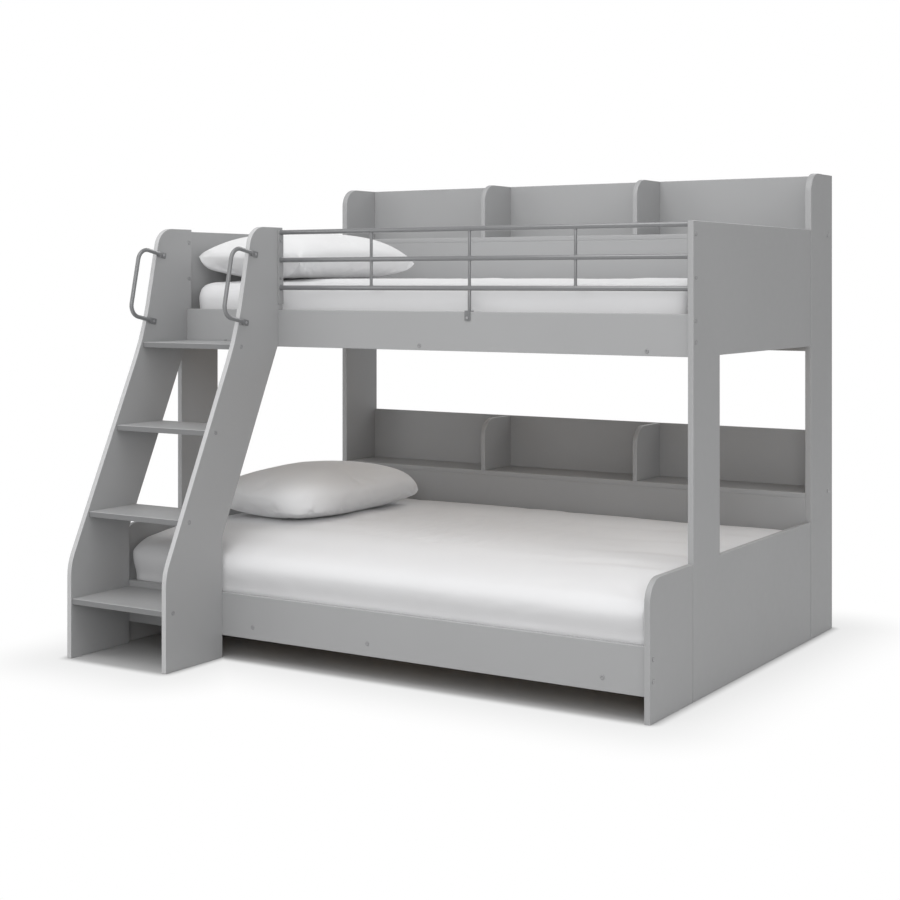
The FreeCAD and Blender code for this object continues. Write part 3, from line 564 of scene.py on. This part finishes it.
HANDLE_START, HANDLE_RUN, HANDLE_REACH, HANDLE_BEND = 0.089, 0.233, 0.089, 0.040
GRIP_RADIUS, TAB_HALF, TAB_THIN = 0.007, 0.010, 0.002
TAB_END, TAB_SOFT, TAB_TIP, PRESS, TAB_HOLE, HANDLE_SCREW = 0.042, 0.0415, 0.90, 0.018, 0.030, 0.012
crest, knee = (np.array([FRONT + corner[0], corner[1]]) for corner in LADDER[7:9])
along = (knee - crest) / np.linalg.norm(knee - crest)
out = np.array([along[1], -along[0]])


def handle_path():
    """Half of a grab handle in its own plane, as (along, out) from the upper foot: the flat end, the leg,
    a quarter turn and the run to the middle of the grip."""
    angle = np.linspace(0, np.pi / 2, 15)
    steps = np.array([-TAB_END, -0.0405, -PRESS, -0.012, -0.006, 0, 0.02])
    leg = np.stack([np.zeros(len(steps)), steps], axis=-1)
    bend = HANDLE_BEND * np.stack([1 - np.cos(angle), np.sin(angle)], axis=-1)
    bend[:, 1] += HANDLE_REACH - HANDLE_BEND
    grip = np.stack([np.linspace(HANDLE_BEND, HANDLE_RUN / 2, 4)[1:], np.full(3, HANDLE_REACH)], axis=-1)
    return np.concatenate([leg, bend, grip])


def grab_handle(hand):
    """A bent tube in front of the ladder's edge, its section pressed from a circle to a flat tab by a
    smooth step of the way along each end. Returns the two screws that hold it."""
    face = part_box(f"ladder_{hand}_side")[1][0]
    half = handle_path()
    other = half[::-1][1:].copy()
    other[:, 0] = HANDLE_RUN - other[:, 0]
    path = np.concatenate([half, other])
    spots = crest + (HANDLE_START + path[:, :1]) * along + path[:, 1:] * out
    flat = eased(ramp(-path[:, 1], 0, PRESS))
    tip = np.where(path[:, 1] < -TAB_SOFT, TAB_TIP, 1.0)
    half_u = (GRIP_RADIUS + (TAB_HALF - GRIP_RADIUS) * flat) * tip
    half_v = GRIP_RADIUS + (TAB_THIN - GRIP_RADIUS) * flat
    centre = np.concatenate([(face + half_v)[:, None], spots], axis=1)
    tangent = np.gradient(centre[:, 1:], axis=0)
    tangent = np.concatenate([np.zeros((len(tangent), 1)), tangent], axis=1)
    tangent /= np.linalg.norm(tangent, axis=1)[:, None]
    tube = carried(centre, tangent, np.array([1.0, 0, 0]), half_u, half_v, 2 + 5 * flat, 28)
    make(hand + "_grab_bar", [tube], tube_grey, [hand + "_grab_handle"])
    holes = crest + np.array([[HANDLE_START], [HANDLE_START + HANDLE_RUN]]) * along - TAB_HOLE * out
    return [screw((face + 2 * TAB_THIN, *hole), (-1, 0, 0), HANDLE_SCREW) for hole in holes]


screws = grab_handle("left") + grab_handle("right")
make("handle_screw_set", screws, zinc, ["handle_screws"])

# Bolts

RAIL_BOLTS = {"upper": (0.044, 0.020), "lower": (0.044, 0.034)}
STRAP_BOLTS = (0.088, 0.038)
NUT_PLACE, CLAMP, INNER_CAP, EDGE_DISTANCE, BRACKET_SCREW = 0.94875, 0.022, 0.010, 0.028, 0.014

# A nut is drawn as a short bolt: its length, head radius, head height, shank radius and key
BARREL_NUT, CLAMP_NUT = (0.013, 0.005, 0.0004, 0.0049, 0.5), (0.004, 0.005, 0.004, 0.003, 0.6)

bolts = {"rail": [], "stretcher": [], "guard": [], "ladder": [], "tread": [], "shelf": []}
nuts = []
for level, (rise, drop) in RAIL_BOLTS.items():
    low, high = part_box(level + "_front_rail")
    mid = (low[1] + high[1]) / 2
    for sign in (-1, 1):
        for z in (low[2] + rise, high[2] - drop):
            bolts["rail"].append(cap_bolt((sign * END_FACE, mid, z), (-sign, 0, 0)))
            nuts.append(bolt((sign * NUT_PLACE, high[1], z), (0, -1, 0), *BARREL_NUT))
    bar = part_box(level + "_stretchers")
    z = (bar[0][2] + bar[1][2]) / 2
    back_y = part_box(level + "_back_fascia")[1][1]
    for x in STRETCHERS[level]:
        bolts["stretcher"].append(cap_bolt((x, low[1], z), (0, 1, 0)))
        bolts["stretcher"].append(cap_bolt((x, back_y, z), (0, -1, 0)))
    low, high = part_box(level + "_shelf")
    for sign in (-1, 1):
        place = (sign * END_FACE, high[1] - EDGE_DISTANCE, (low[2] + high[2]) / 2)
        bolts["shelf"].append(cap_bolt(place, (-sign, 0, 0)))
low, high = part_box("guard_right_end_bar")
ladder_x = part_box("ladder_right_side")[0][0]
for z in (low[2] + STRAP_BOLTS[0], high[2] - STRAP_BOLTS[1]):
    for x, sign in ((END_FACE, -1), (ladder_x, 1)):
        bolts["guard"].append(cap_bolt((x, guard_y, z), (sign, 0, 0), CLAMP))
        bolts["guard"].append(bolt((x + sign * CLAMP, guard_y, z), (-sign, 0, 0), *CLAMP_NUT))
    bolts["ladder"].append(cap_bolt((-END_FACE, guard_y, z), (1, 0, 0), 2 * BOARD))
    bolts["ladder"].append(cap_bolt((2 * BOARD - END_FACE, guard_y, z), (-1, 0, 0), INNER_CAP))
for number in range(1, 5):
    low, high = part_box(f"tread_{number}")
    for sign, inner in ((-1, low[0]), (1, high[0])):
        place = (inner + sign * BOARD, low[1] + EDGE_DISTANCE, (low[2] + high[2]) / 2)
        bolts["tread"].append(cap_bolt(place, (-sign, 0, 0)))
for use, group in bolts.items():
    make(use + "_bolt_set", group, cap_grey, [use + "_bolts"])
make("barrel_nut_set", nuts, zinc, ["barrel_nuts"])
low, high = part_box("bracket_screw")
place = ((low[0] + high[0]) / 2, low[1] + SCREW_HEIGHT, (low[2] + high[2]) / 2)
make("bracket_screw_cap", [screw(place, (0, 1, 0), BRACKET_SCREW)], zinc, ["bracket_screw"])


# Bedding

CORNER_STEPS, BASE_RISE, BASE_INSET = 10, (0, 0.005), (0.022, 0.006)
END_ROLL, CROWN, SIDE_DRAW = 0.022, 0.012, 0.004
SIDE_SPARE, TOP_SPARE, END_SPARE, COVER_BACK = 0.003, 0.004, 0.009, 0.9465
CLOTH_SQUARE, CLOTH_SLACK, CLOTH_STIFF, CLOTH_MOVE = 0.016, 0.012, 15.0, 0.007
HOLD_LEAST, HOLD_DEPTH, PINNED, CALM_LEAST, CALM_DEPTH = 0.05, 0.35, 0.16, 0.15, 0.2
PULL_DEPTH, PULL_PLACE, PULL_RIDGES, PULL_FADE, PULL_START = 0.006, 0.02, 7, 0.10, 0.03
FOLD_DEPTH, FOLD_APART, RIPPLE_DEPTH = 0.007, 0.23, 0.0016
HANG_CLEAR, HANG_RISE, HANG_DEPTH = 0.004, 0.065, 0.14
CASE_ROWS, CASE_COLUMNS, SEAM_TILT, SEAM_OUT, UNDER_STEEP = 53, 77, 0.08, 0.002, 4.0
SINK, SINK_SOFT = 0.016, 0.004


def rounded_ring(size_x, size_y, radius):
    """Points round a rectangle with quarter circle corners."""
    angle = (np.linspace(0, np.pi / 2, CORNER_STEPS)[None] + np.arange(4)[:, None] * np.pi / 2).ravel()
    side_x, side_y = np.repeat([1, -1, -1, 1], CORNER_STEPS), np.repeat([1, 1, -1, -1], CORNER_STEPS)
    return np.stack([side_x * (size_x / 2 - radius) + radius * np.cos(angle),
                     side_y * (size_y / 2 - radius) + radius * np.sin(angle)], axis=-1)


def foam_block(low, high, roll, corner):
    """A mattress: rounded rectangles stacked from the base, up sides that draw in by a sine at half height,
    over a rolled edge to a top that rises to the crown as a sine of the inset. The roll is a quarter
    circle, wide along the long sides and tight at the ends."""
    size = high - low
    tall = size[2] - CROWN
    angle = np.linspace(0, np.pi / 2, 9)
    side = np.linspace(0.02, tall - roll, 6)
    inner = np.linspace(0, size[1] * 0.46 - roll, 8)[1:]
    level = np.concatenate([BASE_RISE, side, tall - roll * (1 - np.sin(angle)),
                            tall + CROWN * np.sin(np.pi / 2 * inner / inner[-1])])
    inset = np.concatenate([BASE_INSET, SIDE_DRAW * np.sin(np.pi * side / side[-1]),
                            roll * (1 - np.cos(angle)), roll + inner])
    above = np.clip((level - tall + END_ROLL) / END_ROLL, 0, 1)
    end_inset = END_ROLL * (1 - np.sqrt(1 - above ** 2))
    end_inset[:2] = BASE_INSET
    end_inset[-len(inner):] += inner
    rings = []
    for e, i, z in zip(end_inset, inset, level):
        ring = rounded_ring(size[0] - 2 * e, size[1] - 2 * i, max(corner - 0.4 * e, 0.02))
        rings.append(np.column_stack([ring, np.full(len(ring), z)]))
    middle = np.array([(low[0] + high[0]) / 2, (low[1] + high[1]) / 2, low[2]])
    count, around = len(rings), len(rings[0])
    return (np.concatenate(rings) + middle, grid_faces(count, around), end_caps(count, around),
            np.zeros(count * around))


def sewn_case(low, high, power, draw, blunt, seam_share, rounded):
    """A filled pillow: two sheets sewn round their edge. On each, u and v run from -1 to 1, closer together
    near the edge, and the swell is ((1 - |u|^p)(1 - |v|^p)) to the power 0.45, mixed by the blunt share
    with the same form of power 8 raised to 0.3. The top rises with the swell and the underside drops at
    once to a flat. The seam lies higher at the head end, a straight line in u. Between the corners the
    sides draw in by 1 - v^4 and 1 - u^4, and the front corners move in by the fourth power of u v."""
    steps = [np.sin(np.pi / 2 * np.linspace(-1, 1, count)) for count in (CASE_ROWS, CASE_COLUMNS)]
    u, v = np.meshgrid(*steps, indexing="ij")
    swollen = (1 - blunt) * ((1 - np.abs(u) ** power) * (1 - np.abs(v) ** power)) ** 0.45
    swollen += blunt * ((1 - u ** 8) * (1 - v ** 8)) ** 0.3
    size, middle = high - low, (low + high) / 2
    seam = size[2] * (seam_share - SEAM_TILT * u)
    pull = rounded * (u * np.minimum(v, 0)) ** 4
    x = u * (1 - draw * (1 - v ** 4) - pull) * size[0] / 2
    y = v * (1 - draw * (1 - u ** 4) - pull) * size[1] / 2
    top = np.stack([x, y, seam + swollen * (size[2] - seam)], axis=-1)
    base = np.stack([x, y, seam * (1 - np.tanh(UNDER_STEEP * swollen) / np.tanh(UNDER_STEEP))], axis=-1)
    over = np.arange(u.size).reshape(u.shape)
    inside = np.zeros(u.shape, bool)
    inside[1:-1, 1:-1] = True
    under = over.copy()
    under[inside] = u.size + np.arange(inside.sum())
    upper, lower = (np.stack([index[:-1, :-1], index[1:, :-1], index[1:, 1:], index[:-1, 1:]], axis=-1)
                    for index in (over, under))
    quads = np.concatenate([upper.reshape(-1, 4), lower.reshape(-1, 4)[:, ::-1]])
    points = np.concatenate([top.reshape(-1, 3), base[inside]]) + (middle[0], middle[1], low[2])
    return points, quads, [], np.zeros(len(points))


def read_points(mesh):
    """A mesh's points as rows of x, y and z."""
    points = np.empty(len(mesh.vertices) * 3)
    mesh.vertices.foreach_get("co", points)
    return points.reshape(-1, 3)


def even_mesh(piece):
    """Give the piece a mesh of even squares."""
    remesh = piece.modifiers.new("even", "REMESH")
    remesh.mode = "VOXEL"
    remesh.voxel_size = CLOTH_SQUARE
    bpy.context.view_layer.update()
    fresh = bpy.data.meshes.new_from_object(piece.evaluated_get(bpy.context.evaluated_depsgraph_get()))
    piece.modifiers.clear()
    piece.data = fresh


def swell(piece, frames, pressure, bending, hold=None):
    """Cloth, cut larger than the form by the slack, blown up from inside for some frames; hold says how
    firmly each point keeps its place. Returns where the points end."""
    if hold is not None:
        group = piece.vertex_groups.new(name="held")
        for weight in np.unique(hold):
            group.add(np.where(hold == weight)[0].tolist(), float(weight), "REPLACE")
    cloth = piece.modifiers.new("cloth", "CLOTH")
    rules = cloth.settings
    rules.quality = 6
    rules.mass = 0.3
    rules.tension_stiffness = rules.compression_stiffness = CLOTH_STIFF
    rules.shear_stiffness = 5
    rules.bending_stiffness = bending
    rules.use_pressure = True
    rules.uniform_pressure_force = pressure
    rules.shrink_min = -CLOTH_SLACK
    rules.effector_weights.gravity = 0
    if hold is not None:
        rules.vertex_group_mass = "held"
    for number in range(1, frames + 1):
        scene.frame_set(number)
    ended = read_points(piece.evaluated_get(bpy.context.evaluated_depsgraph_get()).data).copy()
    piece.modifiers.clear()
    piece.vertex_groups.clear()
    scene.frame_set(1)
    return ended


def finish_soft(piece, points, finish):
    mesh = piece.data
    mesh.vertices.foreach_set("co", points.ravel())
    mesh.polygons.foreach_set("use_smooth", np.ones(len(mesh.polygons), bool))
    mesh.materials.clear()
    mesh.materials.append(finish)
    mesh.update()
    smooth = piece.modifiers.new("smooth", "SUBSURF")
    smooth.levels = smooth.render_levels = 1


def covered_mattress(level, front, roll, corner, head_gap, foot_gap, hang, oval):
    """A mattress in its fitted sheet: the foam block, whose top falls away towards the front as a quarter of
    an oval, (depth, drop) in size, with the sheet under it lowered in proportion. It is settled as cloth
    that is pinned at its base and held more loosely towards its edges; the move is capped, and calmed at
    the front. At each front corner the sheet is pulled into ridges, a cosine of the angle about the corner
    that fades with the distance as exp(-r / PULL_FADE). Soft folds run along the top, the cube of a raised
    sine across the bed that wanders by two slower sines along it and deepens towards the ends; sines along
    the bed ripple the front. Above the front rail the sheet hangs forward by a smooth step of its height."""
    node = level + "_mattress"
    low, high = (np.array(place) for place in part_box(node))
    rail_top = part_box(level + "_front_rail")[1][2]
    foam = foam_block(low + (head_gap, SIDE_SPARE, 0), high - (foot_gap, SIDE_SPARE, TOP_SPARE), roll, corner)
    piece = make(node + "_cover", [foam], sheet_white, [node], node + "_body")
    even_mesh(piece)
    points = read_points(piece.data)
    height = (points[:, 2] - low[2]) / (high[2] - low[2])
    ahead = np.clip(1 - (points[:, 1] - low[1]) / oval[0], 0, 1)
    points[:, 2] -= ramp(height, 0.2, 0.8) * oval[1] * (1 - np.sqrt(1 - ahead ** 2))
    piece.data.vertices.foreach_set("co", points.ravel())
    edge = np.minimum(points[:, 1] - low[1], high[1] - points[:, 1])
    edge = np.minimum(high[0] - np.abs(points[:, 0]), edge)
    hold = np.round(ramp(edge, 0, HOLD_DEPTH) * 0.5, 1) * 0.3 + HOLD_LEAST
    hold[height < PINNED] = 1.0
    ended = swell(piece, frames=14, pressure=1.2, bending=0.6, hold=hold)
    moved = ended - points
    length = np.linalg.norm(moved, axis=1)[:, None]
    moved *= np.minimum(1, CLOTH_MOVE / np.maximum(length, 1e-9))
    moved *= np.clip((points[:, 1] - low[1]) / CALM_DEPTH, CALM_LEAST, 1)[:, None]
    settled = points + moved
    for sign in (-1, 1):
        run = settled[:, :2] - (sign * (high[0] - PULL_PLACE), low[1] + PULL_PLACE)
        away = np.linalg.norm(run, axis=1)
        ridge = np.cos(PULL_RIDGES * np.arctan2(run[:, 1], -sign * run[:, 0]))
        ridge *= np.exp(-away / PULL_FADE) * (1 - np.exp(-away / PULL_START))
        settled[:, 2] += PULL_DEPTH * ridge * ramp(height, 0.8, 0.1)
    x, y = settled[:, 0], settled[:, 1] - low[1]
    lying = ramp(height, 0.82, 0.1) * ramp(y, 0.05, 0.1)
    toward_ends = 0.25 + 0.75 * ramp(np.abs(x), 0.35, 0.5)
    wander = 1.8 * np.sin(2.3 * x + 0.4) + 0.9 * np.sin(5.1 * x)
    fold = 0.5 + 0.5 * np.sin(2 * np.pi * y / FOLD_APART + wander)
    settled[:, 2] -= FOLD_DEPTH * lying * toward_ends * fold ** 3
    ripple = np.sin(9.0 * x + 2 * np.sin(5 * settled[:, 1])) + 0.6 * np.sin(17.0 * x + 1.3)
    settled[:, 1] -= RIPPLE_DEPTH * ripple * ramp(height, 0, 0.3) * (1 - ramp(y, 0.02, 0.06))
    over_rail = eased(ramp(settled[:, 2], rail_top + HANG_CLEAR, HANG_RISE))
    settled[:, 1] -= hang * over_rail * (1 - ramp(settled[:, 1], low[1], HANG_DEPTH))
    settled[:, 1] = np.clip(settled[:, 1], FRONT + front - hang * over_rail, FRONT + COVER_BACK)
    settled[:, 0] = np.clip(settled[:, 0], low[0] - END_SPARE, high[0] + END_SPARE)
    settled[:, 2] = np.maximum(settled[:, 2], low[2])
    finish_soft(piece, settled, sheet_white)


def plump_pillow(level, power, draw, blunt, seam_share, rounded):
    """A pillow: its filled case settled as cloth and fitted to its place, then sunk and pressed flat where it
    lies, a smooth larger of the height and nothing, with the sewn edge standing out a little all round."""
    node = level + "_pillow"
    low, high = (np.array(corner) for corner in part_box(node))
    case = sewn_case(low, high, power, draw, blunt, seam_share, rounded)
    piece = make(node + "_case", [case], case_white, [node], node + "_body")
    points = read_points(piece.data)
    ended = swell(piece, frames=10, pressure=2.5, bending=0.8)
    share = (ended - ended.min(0)) / np.ptp(ended, axis=0)
    settled = low + share * (high - low)
    lift = share[:, 2] * (high[2] - low[2] + SINK) - SINK
    settled[:, 2] = low[2] + (lift + np.sqrt(lift ** 2 + SINK_SOFT ** 2)) / 2
    ring = np.zeros((CASE_ROWS, CASE_COLUMNS), bool)
    ring[[0, -1], :] = ring[:, [0, -1]] = True
    rim = np.where(ring.ravel())[0]
    out = settled[rim, :2] - (low + high)[:2] / 2
    settled[rim, :2] += SEAM_OUT * out / np.linalg.norm(out, axis=1)[:, None]
    finish_soft(piece, settled, case_white)


covered_mattress("upper", front=0.0335, roll=0.055, corner=0.045, head_gap=0.003, foot_gap=0.010,
                 hang=0.0, oval=(0.10, 0.0))
covered_mattress("lower", front=-0.2490, roll=0.035, corner=0.016, head_gap=-0.007, foot_gap=-0.007,
                 hang=0.016, oval=(0.26, 0.072))
plump_pillow("upper", power=3.8, draw=0.06, blunt=0.0, seam_share=0.33, rounded=0.0)
plump_pillow("lower", power=3.0, draw=-0.03, blunt=0.45, seam_share=0.25, rounded=0.15)

# The dowels keep their CAD form
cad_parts["panel_dowels"].data.materials.clear()
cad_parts["panel_dowels"].data.materials.append(pine[0])

# Floor, light and camera

FLOOR_RADIUS, FLOOR_DROP, FLOOR_RINGS, FLOOR_SIDES = 14.0, 0.0005, 23, 48
GLOW_NEAR, GLOW_FAR = (0.05, 0.72), (0.38, 0.28)

reach = np.linspace(0, 1, FLOOR_RINGS + 1)[1:, None] ** 2 * FLOOR_RADIUS
turn = 2 * np.pi * np.arange(FLOOR_SIDES)[None] / FLOOR_SIDES
level = np.full((FLOOR_RINGS, FLOOR_SIDES), -FLOOR_DROP)
disc = np.stack([reach * np.cos(turn), reach * np.sin(turn), level], axis=-1)
mesh = bpy.data.meshes.new("floor")
mesh.from_pydata(disc.reshape(-1, 3), [], grid_faces(FLOOR_RINGS, FLOOR_SIDES)[:, ::-1].tolist()
                 + [np.arange(FLOOR_SIDES).tolist()])
floor = bpy.data.objects.new("floor", mesh)
scene.collection.objects.link(floor)

material, tree, shader, coords = start_finish("studio_floor", Roughness=0.9, Specular_IOR_Level=0.1)
shader.inputs["Base Color"].default_value = (0.50, 0.50, 0.50, 1)
path = add(tree, "LightPath")
seen = reckon(tree, "MAXIMUM", path["Is Camera Ray"], path["Is Glossy Ray"])
seen = reckon(tree, "MAXIMUM", seen, path["Is Transmission Ray"])


def beyond(middle, half):
    """How far a floor point lies outside a rectangle: the length of |point - middle| - half, with each
    part of it at least nothing."""
    run = add(tree, "VectorMath", {"operation": "SUBTRACT"}, _0=coords, _1=middle)["Vector"]
    run = add(tree, "VectorMath", {"operation": "ABSOLUTE"}, _0=run)["Vector"]
    run = add(tree, "VectorMath", {"operation": "SUBTRACT"}, _0=run, _1=half)["Vector"]
    run = add(tree, "VectorMath", {"operation": "MAXIMUM"}, _0=run, _1=(0.0, 0.0, 0.0))["Vector"]
    return add(tree, "VectorMath", {"operation": "LENGTH"}, _0=run)["Value"]


def glowing(distance, far, most):
    """A share of the floor's glow: a smooth step of the distance, up to its most when far."""
    return add(tree, "MapRange", {"interpolation_type": "SMOOTHSTEP"}, Value=distance, From_Min=0.0,
               From_Max=far, To_Min=0.0, To_Max=most)["Result"]


# The floor glows white to the eye away from the bed and is plain grey under it
bed = beyond((0.0, 0.13, 0.0), (0.995, 0.70, 1.0))
ladder = beyond((-0.773, -0.70, 0.0), (0.205, 0.13, 1.0))
away = reckon(tree, "MINIMUM", bed, ladder)
fade = reckon(tree, "ADD", glowing(away, *GLOW_NEAR), glowing(away, *GLOW_FAR))
share = reckon(tree, "MULTIPLY", seen, fade)
glow = add(tree, "Emission", None, Strength=1.0)["Emission"]
mixed = add(tree, "MixShader", None, _0=share, _1=shader.outputs["BSDF"], _2=glow)["Shader"]
tree.links.new(mixed, tree.nodes["Material Output"].inputs["Surface"])
mesh.materials.append(material)

world = bpy.data.worlds.new("studio")
scene.world = world
world.use_nodes = True
tree = world.node_tree
path = add(tree, "LightPath")
seen = reckon(tree, "MAXIMUM", path["Is Camera Ray"], path["Is Transmission Ray"])
white = add(tree, "Background", None, Color=(1, 1, 1, 1), Strength=1.0)["Background"]
dim = tree.nodes["Background"]
dim.inputs["Color"].default_value = (1, 1, 1, 1)
dim.inputs["Strength"].default_value = 0.48
mixed = add(tree, "MixShader", None, _0=seen, _1=dim.outputs["Background"], _2=white)["Shader"]
tree.links.new(mixed, tree.nodes["World Output"].inputs["Surface"])


def lamp(name, place, aim, size, power):
    """A round lamp turned so that its light runs from its place to its aim."""
    data = bpy.data.lights.new(name, "AREA")
    data.shape = "DISK"
    data.size = size
    data.energy = power
    light = bpy.data.objects.new(name, data)
    scene.collection.objects.link(light)
    way = np.array(aim, float) - np.array(place, float)
    light.location = place
    tilt = math.atan2(math.hypot(way[0], way[1]), -way[2])
    light.rotation_euler = (tilt, 0, math.atan2(way[0], -way[1]) + math.pi)


AIM = (0, 0, 0.7)
lamp("front_softbox", (-0.8, -4.2, 5.0), AIM, 3.6, 55)
lamp("camera_softbox", (2.6, -6.0, 4.2), AIM, 4.0, 58)
lamp("camera_fill", (3.6, -5.6, 1.9), AIM, 3.0, 66)
lamp("left_fill", (-4.6, -4.2, 2.6), AIM, 3.0, 32)
lamp("right_fill", (5.2, -1.5, 3.4), AIM, 3.0, 43)
lamp("back_softbox", (0.3, 6.2, 5.4), AIM, 4.0, 128)
lamp("top_softbox", (-0.3, -2.6, 7.0), (-0.3, -0.5, 0.7), 4.6, 145)

scene.view_settings.view_transform = "Standard"
lens = bpy.data.cameras.new("camera")
lens.lens = 63.44
lens.sensor_width = 36
lens.shift_x = -0.1094
lens.shift_y = -0.1857
camera = bpy.data.objects.new("camera", lens)
camera.location = (2.9770, -4.5136, 1.2226)
camera.rotation_euler = (math.pi / 2, 0, 0.5293)
scene.collection.objects.link(camera)
scene.camera = camera
